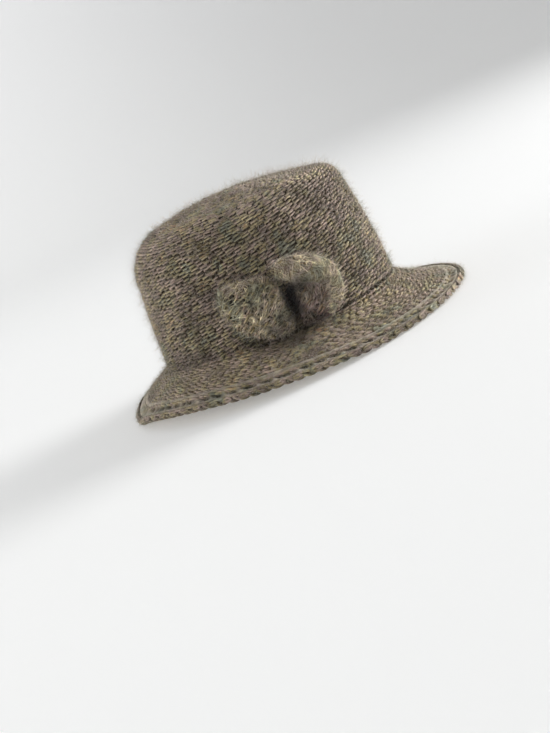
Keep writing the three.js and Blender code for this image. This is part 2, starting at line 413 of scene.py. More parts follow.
def painted_shade_dip(place, spot, reach, depth):
    """Painted shade round a hollow: 1 - depth at a spot in millimetres, and 1 outside its reach.

    reach has a distance for each axis, and the lightness is a smooth dip over their ellipsoid.
    """
    off = place.vector_math("SUBTRACT", [value * MM for value in spot])
    share = off.vector_math("DIVIDE", [value * MM for value in reach])
    return share.vector_math("LENGTH", output=1).eased(0.25, 1.0, 1 - depth, 1.0)


def raised_by(height, strength):
    """A Bump node for relief of up to 0.4 mm."""
    sockets = {"Strength": strength, "Distance": 0.4 * MM, "Height": height}
    return height.node("ShaderNodeBump", sockets=sockets)


def shadowed(place, colour, hollows):
    """A colour made darker by painted shade in some hollows, each of them a spot, its reach and its depth.
    """
    for hollow in hollows:
        colour = colour.scaled(painted_shade_dip(place, *hollow))
    return colour


# %% [markdown]
# Yarn has two plies that twist round each other, which a sine along and around it raises as relief, and
# fine fibres that break up the light. Painted shade darkens the groove between the plies. Four noises, from
# single fibres to drifts of two centimetres, make it lighter and darker, and painted shade makes its upper
# side darker too. Sheen gives wool its soft bright edge. It is the same all over, so it is set once.

# %% Yarn
def yarn_wool(name, strength, ply_pitch=22.0, ply_shade=0.45, hollows=()):
    """Plied tweed yarn. strength scales its colours, all alike or each of the three.

    ply_pitch is the length of one twist in millimetres, and ply_shade how much painted shade darkens the
    yarn between its two plies.
    """
    material, wire, place = new_material(name)
    run = wire.node("ShaderNodeUVMap", {"uv_map": "yarn_run"})
    along, around = run.part(0), run.part(1)
    strand = wire.node("ShaderNodeCombineXYZ", sockets={0: along * 80.0, 1: around * 0.34}).noise(1.0)
    stops = [(at, shade(*colour, strength)) for at, colour in WOOL_TONES]
    colour = (place.noise(TWEED_DRIFT, 2.0) * 0.88 + strand * 0.12).ramp(stops)
    twist = (along * (1 / (ply_pitch * MM)) + around * 2.0) * (2 * np.pi)
    ply = wire.math("SINE", twist) * 0.5 + 0.5
    fibre, mottle = place.noise(1400.0, 2.0), place.noise(420.0)
    patch, cloud = place.noise(130.0), place.noise(55.0, 0.0)
    tints = 0.6 * fibre + 0.9 * mottle + 0.7 * patch + 1.3 * cloud - 0.74
    # Painted shade: darker in the groove between the plies and on one side of each strand.
    painted_side_shade = wire.math("COSINE", around * (2 * np.pi)) * 0.42 + 0.72
    lightness = tints * (1 - ply_shade + ply * ply_shade) * painted_side_shade
    relief = ply * 0.7 + fibre * 0.9
    sockets = {
        "Base Color": shadowed(place, colour.scaled(lightness), hollows),
        "Roughness": 0.95,
        "Specular IOR Level": 0.15,
        "Sheen Weight": 0.25,
        "Sheen Roughness": 0.45,
        "Sheen Tint": (0.9, 0.86, 0.78, 1.0),
        "Normal": raised_by(relief, strength=0.6),
    }
    return finish_material(material, wire, sockets)


# %% [markdown]
# Matted fibres fill the gaps between stitches. Deep gaps look dark, and the felt under the crown and the bow
# is made dark as painted shade for them. On the brim and along its edge the fibres lie so thick that the
# gaps are hardly darker than the yarn, so each felt has its own strength.

# %% Felt
def felted_wool(name, strength, hollows=()):
    """Matted fibres, dull and rough: dark at a strength of 1, and nearly as light as yarn from 3 on."""
    material, wire, place = new_material(name)
    fibre = place.noise(1100.0, 3.0)
    stops = [(0.3, shade(46, 41, 34, strength)), (0.7, shade(66, 58, 48, strength))]
    colour = (place.noise(90.0, 2.0) * 0.6 + fibre * 0.4).ramp(stops)
    sockets = {
        "Base Color": shadowed(place, colour, hollows),
        "Roughness": 1.0,
        "Specular IOR Level": 0.05,
        "Normal": raised_by(fibre, strength=0.8),
    }
    return finish_material(material, wire, sockets)


# %% [markdown]
# Loose hairs look paler than the yarn, because light passes through them, but they drift through the same
# colours. Each hair has a tone of its own, and painted shade darkens them in random patches, as if they sank
# into gaps.

# %% Hair
def hair_wool(name, strength, locks=0.0, hole_shade=0.0, hollows=()):
    """Loose hairs. locks is how much their lightness differs from one to the next, and hole_shade how much
    painted shade darkens them from place to place."""
    material, wire, place = new_material(name)
    stops = [
        (0.38, shade(150, 150, 137, strength)),
        (0.46, shade(170, 164, 142, strength)),
        (0.52, shade(172, 162, 156, strength)),
        (0.62, shade(180, 173, 156, strength)),
    ]
    tone = wire.node("ShaderNodeAttribute", {"attribute_name": "hair_tone"}, output=2)
    # Painted shade: random patches darken the hairs, standing for hairs sunk in holes.
    lightness = (1 - locks + tone * (2 * locks)) * (1 - 2 * hole_shade + place.noise(230.0) * (4 * hole_shade))
    colour = place.noise(TWEED_DRIFT, 2.0).ramp(stops).scaled(lightness)
    sockets = {
        "Base Color": shadowed(place, colour, hollows),
        "Roughness": 0.8,
        "Specular IOR Level": 0.1,
        "Sheen Weight": 0.3,
    }
    return finish_material(material, wire, sockets)


# %% [markdown]
# These three kinds of wool dress every piece, each time with other numbers, because the crown, the brim, the
# edge and the bow aren't equally light in the photograph.

# %% The wool of each piece
# Two painted shades, each a spot, its reach and its depth: the shade in the crease over the brim and the
# shade below the bow.
JOIN_CREASE_SHADE = ((-80.0, 60.0, 32.0), (200.0, 120.0, 17.0), 0.35)
BOW_FOOT_SHADE = ((-92.0, 12.0, 30.0), (30.0, 42.0, 13.0), 0.55)
hat_yarn = yarn_wool("hat_yarn", strength=(1.82, 1.79, 1.78), hollows=(JOIN_CREASE_SHADE, BOW_FOOT_SHADE))
brim_yarn = yarn_wool("brim_yarn", strength=(1.54, 1.51, 1.43), ply_shade=0.1, hollows=(BOW_FOOT_SHADE,))
edge_yarn = yarn_wool("edge_yarn", strength=1.4, ply_pitch=14.0, ply_shade=0.3)
# Real matting, made dark as painted shade in the crown's deep gaps.
hat_felt_and_shade = felted_wool("hat_felt_and_shade", strength=0.85)
brim_felt = felted_wool("brim_felt", strength=(3.4, 3.35, 3.2))
edge_felt = felted_wool("edge_felt", strength=3.0)
# Its tones carry the strip's painted shade in the slots and painted light where they fade.
strip_wool = hair_wool("strip_wool", strength=(0.9, 0.83, 0.72), locks=1.0, hole_shade=0.4)
hat_hair = hair_wool("hat_hair", (1.02, 1.01, 1.0), locks=0.55, hole_shade=0.3, hollows=(JOIN_CREASE_SHADE, BOW_FOOT_SHADE))
brim_hair = hair_wool("brim_hair", strength=1.1, locks=0.45, hollows=(BOW_FOOT_SHADE,))
halo_hair = hair_wool("halo_hair", strength=(1.42, 1.36, 1.36), locks=0.4, hollows=(BOW_FOOT_SHADE,))
print("materials:", ", ".join(sorted(material.name for material in bpy.data.materials)))

# %% [markdown]
# The hat's form
#
# A turn is an angle seen from above: 0 at the front, then round by the wearer's right to the back. The form
# follows the solids of the frame exactly, so the knitting sits where they are. Each surface is a function
# of a turn and a place on its slope, and works on whole arrays at once.

# %% Curves through a few values
JOIN = {"height": 29.3, "half_length": 103.6, "half_width": 87.0}
CROWN = {
    "front_rise": 105.0,
    "back_rise": 110.7,
    "tip_half_length": 96.0,
    "tip_half_width": 78.0,
    "tip_shift": 1.7,
    "wall_bulge": 1.4,
    "dome": 8.0,
    "corner_radius": (19.0, 26.0, 41.0),
    "thickness": 4.0,
}
# The brim at the front, front quarter, side, back quarter and back.
BRIM = {
    "reach": (54.0, 48.5, 48.0, 45.9, 41.4),
    "bulge": (-3.5, -3.0, -1.0, 0.0, 1.5),
    "join_rise": (0.0, -3.5, -0.5, 4.0, 0.5),
    "thickness": 4.5,
    "edge_width": 9.0,
}
EDGE_RADIUS = 3.0
# How much the rim lifts off the table at even turns from the front to the back.
RIM_LIFT_RIGHT = (0.4, 0.6, 0.2, -0.6, 3.6, 6.6, 9.0, 6.5, -1.4)
RIM_LIFT_LEFT = (0.4, 0.4, 0.0, -0.6, 1.8, 3.4, 4.0, 2.4, -1.4)
MIDDLE_Y = (BRIM["reach"][0] - BRIM["reach"][-1]) / 2
GAP = 0.3


def between(before, start, end, after, part):
    """A cubic from start to end whose slopes come from the values before and after."""
    start_slope, end_slope = (end - before) / 2, (after - start) / 2
    square = 3 * (end - start) - 2 * start_slope - end_slope
    cube = 2 * (start - end) + start_slope + end_slope
    return start + start_slope * part + square * part**2 + cube * part**3


def by_turn(values, turn):
    """A smooth value at a turn, from values at even turns between front and back, alike on both sides."""
    values = np.asarray(values, float)
    last = len(values) - 1
    place = np.abs((turn + np.pi) % (2 * np.pi) - np.pi) / np.pi * last
    start = np.minimum(np.floor(place), last - 1).astype(int)
    indices = [np.abs(start + step) for step in (-1, 0, 1, 2)]
    near = [values[np.where(index > last, 2 * last - index, index)] for index in indices]
    return between(*near, place - start)


def through(values, place):
    """A smooth line through values numbered 0, 1, 2 and so on, level outside them."""
    values = np.asarray(values, float)
    last = len(values) - 1
    place = np.clip(place, 0, last)
    start = np.minimum(np.floor(place), last - 1).astype(int)
    near = [values[np.clip(start + step, 0, last)] for step in (-1, 0, 1, 2)]
    return between(*near, place - start)


# %% Surfaces of the crown and the brim
def corner_radius(turn):
    return by_turn(CROWN["corner_radius"], turn)


def crown_rise(turn):
    front, back = CROWN["front_rise"], CROWN["back_rise"]
    return (front + back) / 2 - (back - front) / 2 * np.cos(turn)


def crown_surface(turn, level):
    """The crown's outside: level 0 to 1 climbs the wall, 1 to 2 rounds the corner, 2 to 3 crosses the tip.

    The wall runs straight from the join to the tip's size with a slight bulge, the corner is a quarter
    circle, and the tip shrinks to its middle while it rises by 1 - left squared.
    """
    turn, level = np.broadcast_arrays(np.asarray(turn, float), np.asarray(level, float))
    radius, rise = corner_radius(turn), crown_rise(turn)
    on_wall = np.clip(level, None, 1)
    bend = np.clip(level - 1, 0, 1) * np.pi / 2
    left = np.clip(3 - level, None, 1)
    bulge = CROWN["wall_bulge"] * 4 * on_wall * (1 - on_wall)
    pulled_in = radius * (1 - np.cos(bend))
    half_length = JOIN["half_length"] + (CROWN["tip_half_length"] - JOIN["half_length"]) * on_wall
    half_width = JOIN["half_width"] + (CROWN["tip_half_width"] - JOIN["half_width"]) * on_wall
    half_length = (half_length + bulge - pulled_in) * left
    half_width = (half_width + bulge - pulled_in) * left
    middle_rise = crown_rise(np.pi / 2)
    corner_top = (rise - radius) * on_wall + radius * np.sin(bend)
    tip = middle_rise + (rise - middle_rise) * left + CROWN["dome"] * (1 - left**2)
    height = JOIN["height"] + np.where(level > 2, tip, corner_top)
    shift = CROWN["tip_shift"] * on_wall
    along = -half_length * np.cos(turn) + shift + MIDDLE_Y
    return np.stack([-half_width * np.sin(turn), along, height], -1)


def rim_lift(turn):
    right = np.sin(turn) > 0
    return np.maximum(0, np.where(right, by_turn(RIM_LIFT_RIGHT, turn), by_turn(RIM_LIFT_LEFT, turn)))


def beyond_join(turn, distance, height):
    """A point at a height, a given distance out from the oval of the join."""
    across = -(JOIN["half_width"] + distance) * np.sin(turn)
    along = -(JOIN["half_length"] + distance) * np.cos(turn) + MIDDLE_Y
    return np.stack(np.broadcast_arrays(across, along, height), -1)


def brim_reach(turn):
    return by_turn(BRIM["reach"], turn) - EDGE_RADIUS


def join_height(turn):
    return JOIN["height"] + by_turn(BRIM["join_rise"], turn)


def brim_surface(turn, share):
    """The brim's upper side: a straight slope from the join (0) to the edge's top (1), plus its bulge."""
    start = join_height(turn) - GAP
    end = 2 * EDGE_RADIUS + rim_lift(turn)
    height = start + (end - start) * share + by_turn(BRIM["bulge"], turn) * 4 * share * (1 - share)
    return beyond_join(turn, brim_reach(turn) * share, height)


def beside(surface, turn, place, distance):
    """A point beside a surface, at a distance measured square to it, out and up being positive."""
    across = surface(turn + SMALL, place) - surface(turn - SMALL, place)
    along = surface(turn, place + SMALL) - surface(turn, place - SMALL)
    normal = unit(np.cross(across, along))
    out_and_up = np.stack(np.broadcast_arrays(-np.sin(turn), -np.cos(turn), 1.0), -1)
    facing = np.sign((normal * out_and_up).sum(-1))
    return surface(turn, place) + normal * (facing * distance)[..., None]


tip_height, rim_height = crown_surface(0.0, 3.0)[2], brim_surface(np.pi / 2, 1.0)[2]
print(f"the tip is {tip_height:.1f} mm up, and the rim's top on the wearer's right {rim_height:.1f} mm")


# %% [markdown]
# Knitting with numbers
#
# In purl fabric the tops and the feet of the loops lie in front and the legs behind, so it shows rows of
# short humps, laid like bricks. One loop of yarn is three waves of the same angle t: it goes along the row
# with a double wave that pinches the legs together, up and down the row once, and in and out of the cloth
# twice. A slant and small random wanderings make it hand-knitted. Sculpting or a bump map could only hint
# at this, because the dark gaps between the stitches are real gaps.
#
# A fabric is a function place(around, row, out) that puts a point anywhere: around the piece from 0 to 1,
# up it in rows, and out of it in millimetres. The same loops then fit a crown, a brim or a bow.

# %% Yarn as closed tubes
def smooth_noise(rng, knots, place):
    """Random values at even places round a closed row, joined by smooth steps. place runs from 0 to 1."""
    values = rng.normal(size=knots)
    spot = (place % 1.0) * knots
    start = np.floor(spot).astype(int) % knots
    part = spot - np.floor(spot)
    ease = part * part * (3 - 2 * part)
    return values[start] * (1 - ease) + values[(start + 1) % knots] * ease


def closed_tubes(centres, outward, radii, lengths, sides):
    """Tubes along closed lines of centres: each ring is centre + radius (side cos a + over sin a).

    lengths says how many centres each line has. Gives points, faces and the two maps of make_piece. In
    OFBake the tubes lie in strips one over the other, and fill nine tenths of each.
    """
    strip_fill = 0.9
    starts = np.concatenate([[0], np.cumsum(lengths)[:-1]])
    index = np.arange(len(centres))
    ahead = index + 1
    ahead[starts + lengths - 1] = starts
    behind = index - 1
    behind[starts] = starts + lengths - 1
    tangent = unit(centres[ahead] - centres[behind])
    side = unit(np.cross(outward, tangent))
    over = np.cross(tangent, side)
    angle = np.arange(sides) / sides * 2 * np.pi
    ring = side[:, None] * np.cos(angle)[:, None] + over[:, None] * np.sin(angle)[:, None]
    points = (centres[:, None] + radii[:, None, None] * ring).reshape(-1, 3)
    here = index[:, None] * sides + np.arange(sides)
    there = ahead[:, None] * sides + np.arange(sides)
    quads = np.stack([here, np.roll(here, -1, 1), np.roll(there, -1, 1), there], -1).reshape(-1, 4)

    line = np.repeat(np.arange(len(lengths)), lengths)
    step = np.linalg.norm(centres[ahead] - centres, axis=1)
    run = np.cumsum(step) - step
    run = (run - run[starts][line]) * MM
    side_share = np.arange(sides) / sides
    corner_along = [0, 0, 1, 1]
    corner_around = [0, 1, 1, 0]
    yarn_run = np.empty((len(centres), sides, 4, 2))
    yarn_run[..., 0] = run[:, None, None] + (step * MM)[:, None, None] * corner_along
    yarn_run[..., 1] = line[:, None, None] * 3 + side_share[None, :, None] + np.array(corner_around) / sides
    strips = max(1, int(np.sqrt(step.sum() / (2 * np.pi * radii.mean()))))
    per_strip = int(np.ceil(len(centres) / strips))
    strip, place = index // per_strip, index % per_strip
    bake = np.empty_like(yarn_run)
    bake[..., 0] = (place[:, None, None] + corner_along) / per_strip
    across = strip_fill * (side_share[None, :, None] + np.array(corner_around) / sides)
    bake[..., 1] = (strip[:, None, None] + (1 - strip_fill) / 2 + across) / strips
    return points, [quads], {"yarn_run": yarn_run, "OFBake": bake}


# %% Rows of purl loops
PURL = {
    "pinch": 2.1,
    "narrow": 0.0,
    "height": 0.92,
    "flatness": 0.2,
    "slant": (-0.08, 0.05),
    "depth": 1.0,
    "lap": 0.45,
}
YARN_SIDES = 5


def knit_rows(place, rows, radius, seed, loose=1.0, steps=12, **changes):
    """Purl loops over a fabric. rows lists each row's place and its number of stitches.

    With t going once round each stitch: along = t + pinch sin 2t + narrow sin t,
    up = height (cos t - flatness cos 3t) + slant sin 2t,
    out = depth (1.15 cos 2t - 0.15 cos 6t) + lap sin 2t,
    and each wanders a little, more in loose knitting. narrow pinches only the feet of the loops, and lap
    tucks one end of each hump behind the next. slant is its middle value and how far it grows to the front.
    changes replaces values of PURL for one fabric, and steps is the number of rings in each stitch.
    """
    purl = PURL | changes
    rng = np.random.default_rng(seed)
    around, row, out, thickness, lengths = [], [], [], [], []
    for at, stitches in rows:
        angle = np.arange(stitches * steps) / steps * 2 * np.pi
        lap = angle / (2 * np.pi * stitches)
        shifted = rng.normal(0, 0.25)
        wander = [smooth_noise(rng, stitches * 2, lap) * loose for _ in range(4)]
        along = angle + purl["pinch"] * np.sin(2 * angle) + purl["narrow"] * np.sin(angle)
        around.append((along + 0.42 * wander[0]) / (2 * np.pi * stitches) + shifted / stitches)
        hump = np.cos(angle) - purl["flatness"] * np.cos(3 * angle)
        slant = purl["slant"][0] + purl["slant"][1] * np.cos(2 * np.pi * lap)
        row.append(at + purl["height"] * hump + slant * np.sin(2 * angle) + 0.07 * wander[1])
        crest = purl["depth"] * (1.15 * np.cos(2 * angle) - 0.15 * np.cos(6 * angle))
        out.append(crest + purl["lap"] * np.sin(2 * angle) + 0.28 * wander[2])
        thickness.append(radius * (1 + 0.13 * wander[3]))
        lengths.append(len(angle))
    around, row, out, thickness = (np.concatenate(part) for part in (around, row, out, thickness))
    centres = place(around, row, out)
    outward = unit(place(around, row, out + 0.1) - centres)
    thickness = np.clip(thickness, 0.6 * radius, 1.4 * radius)
    return closed_tubes(centres, outward, thickness, np.array(lengths), YARN_SIDES)


def girth(place, row):
    """The distance round a fabric at a row."""
    lap = np.linspace(0, 1, 241)
    points = place(lap, np.full_like(lap, row), np.zeros_like(lap))
    return np.linalg.norm(np.diff(points, axis=0), axis=1).sum()


def dress(piece, slot, *nodes):
    """The piece rides on the hat's body and stands for its solids, which are hidden. slot is not used."""
    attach(piece, "root")
    if nodes:
        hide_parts(*nodes)
    return piece


# %% [markdown]
# The crown
#
# The crown is knitted round and round from the brim to the tip, with the purl side out. Its rows are about
# 5.5 mm apart, and the wall has 92 stitches. Over the tip stitches are knitted together, so each row
# there has fewer. One more row lies in the crease over the brim. Wool felts in wear, and matted fibres fill
# the gaps: a thin shell in the middle of the wall stands for them, so that no light comes through. It is
# dark as painted shade for the deep gaps.

# %% Crown
CROWN_ROWS = 33
CREASE_ROW = -0.15
WALL_STITCHES = 92
NARROWEST_STITCH = 5.8
FEWEST_STITCHES = 5
# The rows where the pieces "upper wall" and "tip" start.
WALL_MIDDLE = 11
TIP_START = 22


def crown_level(turn, climb):
    """The level at a share of the way from the join over the wall and corner to the middle of the tip."""
    radius = corner_radius(turn)
    lean = JOIN["half_width"] - CROWN["tip_half_width"]
    wall = np.hypot(crown_rise(turn) - radius, lean)
    corner = radius * np.pi / 2
    tip_across = (CROWN["tip_half_width"] - radius) * np.sin(turn)
    tip_along = (CROWN["tip_half_length"] - radius) * np.cos(turn)
    tip = np.hypot(tip_across, tip_along)
    way = climb * (wall + corner + tip)
    past_wall = 1 + (way - wall) / corner
    past_corner = 2 + (way - wall - corner) / tip
    level = np.where(way < wall, way / wall, np.where(way < wall + corner, past_wall, past_corner))
    return np.minimum(level, 2.99)


def crown_fabric(around, row, out):
    """The middle of the crown's wall as a fabric, with slow dents of about a millimetre."""
    turn = around * 2 * np.pi
    level = crown_level(turn, row / CROWN_ROWS)
    dents = 0.5 * np.sin(3 * turn + 1.0) * np.sin(2.1 * level) + 0.4 * np.sin(7 * turn + 3.3 * level)
    depth = CROWN["thickness"] / 2 - dents * np.clip(3 - level, 0, 1)
    return beside(crown_surface, turn, level, out - depth)


def felt_shell(fabric, rows, thickness, around=160):
    """A thin closed shell on both sides of a fabric, open where its rows begin and closed at its last."""
    lap = np.linspace(0, 1, around, endpoint=False)
    outside = [fabric(lap, np.full_like(lap, row), np.full_like(lap, thickness / 2)) for row in rows]
    inside = [fabric(lap, np.full_like(lap, row), np.full_like(lap, -thickness / 2)) for row in rows]
    return np.stack(outside[::-1] + inside)


def make_crown():
    rows = [(CREASE_ROW, WALL_STITCHES)]
    for index in range(CROWN_ROWS):
        at = index + 0.5
        fitting = round(girth(crown_fabric, at) / NARROWEST_STITCH)
        rows.append((at, int(np.clip(fitting, FEWEST_STITCHES, WALL_STITCHES))))
    shell = felt_shell(crown_fabric, np.linspace(-0.2, CROWN_ROWS - 0.4, 40), thickness=1.2, around=96)
    poles = np.stack([shell[0].mean(0), shell[-1].mean(0)])
    points, faces = closed_skin(shell, poles)
    dress(make_piece("crown_felt", points, faces, hat_felt_and_shade), "hat_wool", "crown")
    lower, upper, tip = rows[:WALL_MIDDLE], rows[WALL_MIDDLE:TIP_START], rows[TIP_START:]
    for index, (name, part) in enumerate((("lower_wall", lower), ("upper_wall", upper), ("tip", tip))):
        points, faces, maps = knit_rows(crown_fabric, part, radius=0.96, seed=11 + index, steps=10)
        dress(make_piece(f"crown_{name}_knit", points, faces, hat_yarn, maps), "hat_wool", "crown")
    print("stitches in the crown's rows:", [stitches for _, stitches in rows])


make_crown()

# %% [markdown]
# The brim
#
# Stitches are picked up along the crown's foot and the brim is knitted outwards, with more stitches in each
# row so that it lies in a cone. It uses the same loops on its own slope, a little flatter because the brim
# is more matted. Its felt starts a row inside the join, so that nothing shows through there.

# %% Brim
BRIM_ROWS = 11
BRIM_STITCH = 7.4
BRIM_PURL = {"slant": (0.0, 0.08), "height": 0.85, "depth": 0.4}


def edge_share(turn):
    """The share of the brim's reach where the bound-off edge begins."""
    return 1 - BRIM["edge_width"] / brim_reach(turn)


def brim_fabric(around, row, out):
    """The middle of the brim as a fabric. Its rows run from the join out to the edge."""
    turn = around * 2 * np.pi
    share = row / BRIM_ROWS * edge_share(turn)
    waves = 0.5 * np.sin(5 * turn + 0.6) * share
    return beside(brim_surface, turn, share, out + waves - BRIM["thickness"] / 2)


def make_brim():
    rows = []
    for index in range(BRIM_ROWS):
        at = index + 0.5
        rows.append((at, int(round(girth(brim_fabric, at) / BRIM_STITCH))))
    shell = felt_shell(brim_fabric, np.linspace(-1.0, BRIM_ROWS - 0.1, 12), thickness=1.3)
    points, faces = closed_skin(shell)
    dress(make_piece("brim_felt", points, faces, brim_felt), "hat_wool", "brim")
    points, faces, maps = knit_rows(brim_fabric, rows, radius=0.95, seed=21, steps=9, **BRIM_PURL)
    dress(make_piece("brim_knit", points, faces, brim_yarn, maps), "hat_wool", "brim")
    print("stitches in the brim's rows:", [stitches for _, stitches in rows])


make_brim()

# %% [markdown]
# The bound-off edge
#
# The last stitches are bound off over one another, which leaves a chain lying along the rim and a line of
# slots beside it. In a chain the yarn runs forward along one side of a link, crosses over and comes back
# along the other side. A thick double strand lies under the chain and makes the rim round, over a core of
# felt. The wool beside the chain is matted, so a strip with a dip for each slot is made there, with painted
# shade in its dips and painted light where the slots fade. Loops of yarn alone would leave one dark line all
# round instead of slots.

# %% Edge
CHAIN = {"links": 66, "half_width": 0.24, "half_depth": 0.3, "overlap": 0.5, "radius": 1.05, "middle": 0.55}
ROPE = {"twists": 52, "offset": 1.15, "radius": 1.4, "drop": 0.6}
# The strip's height and underside are measured from the middle of the brim's thickness.
STRIP = {
    "height": 1.5,
    "underside": -4.0,
    "slot_depth": 5.0,
    "slot_width": 0.36,
    "slot_length": 0.42,
    "lean": 0.35,
}
CHAIN_FOOT = 0.93
LAST_ROW = {"row": -0.25, "stitch": 7.6}


def rim_middle(turn):
    return beyond_join(turn, brim_reach(turn), EDGE_RADIUS + rim_lift(turn))


def rim_outward(turn):
    return unit(beyond_join(turn, brim_reach(turn) + 1, 0) - beyond_join(turn, brim_reach(turn), 0))


def rim_fabric(around, row, out):
    """The rim's roll as a fabric 1 mm inside its surface. Row 0 is the inner shoulder, and rows 0 to 2 go
    round it over the top."""
    turn = around * 2 * np.pi
    tilt = np.pi * (0.75 - row)
    direction = rim_outward(turn) * np.cos(tilt)[..., None] + UP * np.sin(tilt)[..., None]
    return rim_middle(turn) + direction * (EDGE_RADIUS - 1 + out)[..., None]


def edge_chain():
    """With s going once round each link: along = s / 2 pi + overlap (1 - cos s), across = -width sin s and
    out = -depth cos s, so that each link's tip comes up through the next link."""
    rng = np.random.default_rng(31)
    steps = 20
    angle = np.arange(CHAIN["links"] * steps) / steps * 2 * np.pi
    lap = angle / (2 * np.pi * CHAIN["links"])
    uneven = [smooth_noise(rng, CHAIN["links"], lap) for _ in range(3)]
    around = lap + (CHAIN["overlap"] * (1 - np.cos(angle)) + 0.08 * uneven[0]) / CHAIN["links"]
    row = CHAIN["middle"] - CHAIN["half_width"] * np.sin(angle) * (1 + 0.12 * uneven[1])
    out = -CHAIN["half_depth"] * np.cos(angle) + 0.15 * uneven[2]
    centres = rim_fabric(around, row, out)
    outward = unit(rim_fabric(around, row, out + 0.1) - centres)
    radii = CHAIN["radius"] * (1 + 0.08 * uneven[1])
    return closed_tubes(centres, outward, radii, np.array([len(angle)]), sides=6)


def edge_rope():
    """Two strands: each centre is a line under the rim's middle + offset (out cos w + up sin w)."""
    rng = np.random.default_rng(32)
    steps = ROPE["twists"] * 14
    lap = np.arange(steps) / steps
    turn = lap * 2 * np.pi
    middle = rim_middle(turn) - UP * ROPE["drop"]
    away = rim_outward(turn)
    centres, outward, radii = [], [], []
    for phase in (0, np.pi):
        wind = ROPE["twists"] * turn + phase + 0.35 * smooth_noise(rng, ROPE["twists"], lap)
        offset = away * np.cos(wind)[:, None] + UP * np.sin(wind)[:, None]
        centres.append(middle + offset * ROPE["offset"])
        outward.append(offset)
        radii.append(ROPE["radius"] * (1 + 0.06 * smooth_noise(rng, ROPE["twists"] * 2, lap)))
    centres, outward, radii = (np.concatenate(part) for part in (centres, outward, radii))
    return closed_tubes(centres, outward, radii, np.array([steps, steps]), sides=6)


def last_row_fabric(around, row, out):
    """The strip of the brim from the start of its edge (0) to the foot of its chain (1)."""
    turn = around * 2 * np.pi
    start = edge_share(turn)
    share = start + (CHAIN_FOOT - start) * row
    return beside(brim_surface, turn, share, out - BRIM["thickness"] / 2)


def slotted_strip():
    """The matted strip along the chain, and a tone for each of its points: painted shade in its slots and
    painted light where they fade.

    s goes from -0.5 to 0.5 over one link of the chain and leans, and the strip's upper side sinks by
    slot depth * exp(-(s / slot width)^2 - ((row - 0.5) / slot length)^2). The slots are deepest on the
    right, shallower at the front and back, and fade out on the left, where the strip is higher and painted
    lighter.
    """
    lap = np.linspace(0, 1, CHAIN["links"] * 10, endpoint=False)
    rows = np.linspace(-0.45, 1.25, 12)[:, None]
    wander = 0.25 * smooth_noise(np.random.default_rng(35), CHAIN["links"], lap)
    link = lap * CHAIN["links"] + STRIP["lean"] * rows + wander
    s = link - np.round(link)
    side = np.clip(0.4 + 0.6 * np.sin(lap * 2 * np.pi), 0, 1)
    dip = side * np.exp(-((s / STRIP["slot_width"]) ** 2) - ((rows - 0.5) / STRIP["slot_length"]) ** 2)
    around = np.broadcast_to(lap, dip.shape)
    row = np.broadcast_to(rows, dip.shape)
    upper = last_row_fabric(around, row, STRIP["height"] + 0.3 * (1 - side) - STRIP["slot_depth"] * dip)
    lower = last_row_fabric(around, row, np.full(dip.shape, STRIP["underside"]))
    # Painted shade darkens the dips of the slots, and painted light lifts the strip where they fade.
    painted_strip_tones = 0.5 + 0.1 * (1 - side) - 0.42 * np.clip(dip * 1.5, 0, 1)
    lower_tones = np.full(dip.shape, 0.6)
    return np.concatenate([upper, lower[::-1]]), np.concatenate([painted_strip_tones, lower_tones]).ravel()


def edge_core():
    """The felt in the middle of the rim, a round core 2 mm thick."""
    lap = np.linspace(0, 1, 240, endpoint=False)
    rows = np.linspace(0, 2, 8, endpoint=False)
    return np.stack([rim_fabric(lap, np.full_like(lap, row), np.full_like(lap, -1.0)) for row in rows])


def last_row():
    """The row beside the strip, as on the brim."""
    stitches = int(round(girth(last_row_fabric, LAST_ROW["row"]) / LAST_ROW["stitch"]))
    rows = [(LAST_ROW["row"], stitches)]
    return knit_rows(last_row_fabric, rows, radius=1.05, seed=33, height=0.42, slant=(0.0, 0.06), depth=0.6)


def slot_loops():
    """A thin strand that waves along the strip and is narrow between the slots."""
    rows = [(0.8, CHAIN["links"])]
    flat = {"flatness": 0.0, "slant": (0.0, 0.0), "depth": 0.0, "lap": 0.0}
    wave = {"pinch": 0.0, "narrow": 1.2, "height": 0.55}
    return knit_rows(last_row_fabric, rows, radius=0.5, seed=34, steps=18, **flat, **wave)


def make_edge():
    points, faces = closed_skin(edge_core())
    dress(make_piece("edge_core", points, faces, edge_felt), "edge_wool", "brim_edge")
    strip, tones = slotted_strip()
    points, faces = closed_skin(strip)
    dress(make_piece("edge_strip", points, faces, strip_wool, tones=tones), "edge_wool", "brim_edge")
    strands = {"row": last_row(), "loops": slot_loops(), "chain": edge_chain(), "rope": edge_rope()}
    for name, (points, faces, maps) in strands.items():
        dress(make_piece(f"edge_{name}", points, faces, edge_yarn, maps), "edge_wool", "brim_edge")


make_edge()

# %% [markdown]
# The bow
#
# The bow is a strip of the same knitting, looser and fluffier, gathered in its middle and sewn to the
# crown. Its two loops puff out on either side of a dark pinch, and the front one curls over in a fat roll.
# Sculpting them on the curved wall would be hard to measure. So the bow is drawn on the wall laid flat,
# along towards the front, up, and out, and then wrapped onto the wall. Each loop is a closed form through a
# few rounded sections, like a sausage with its back flat on the wall.

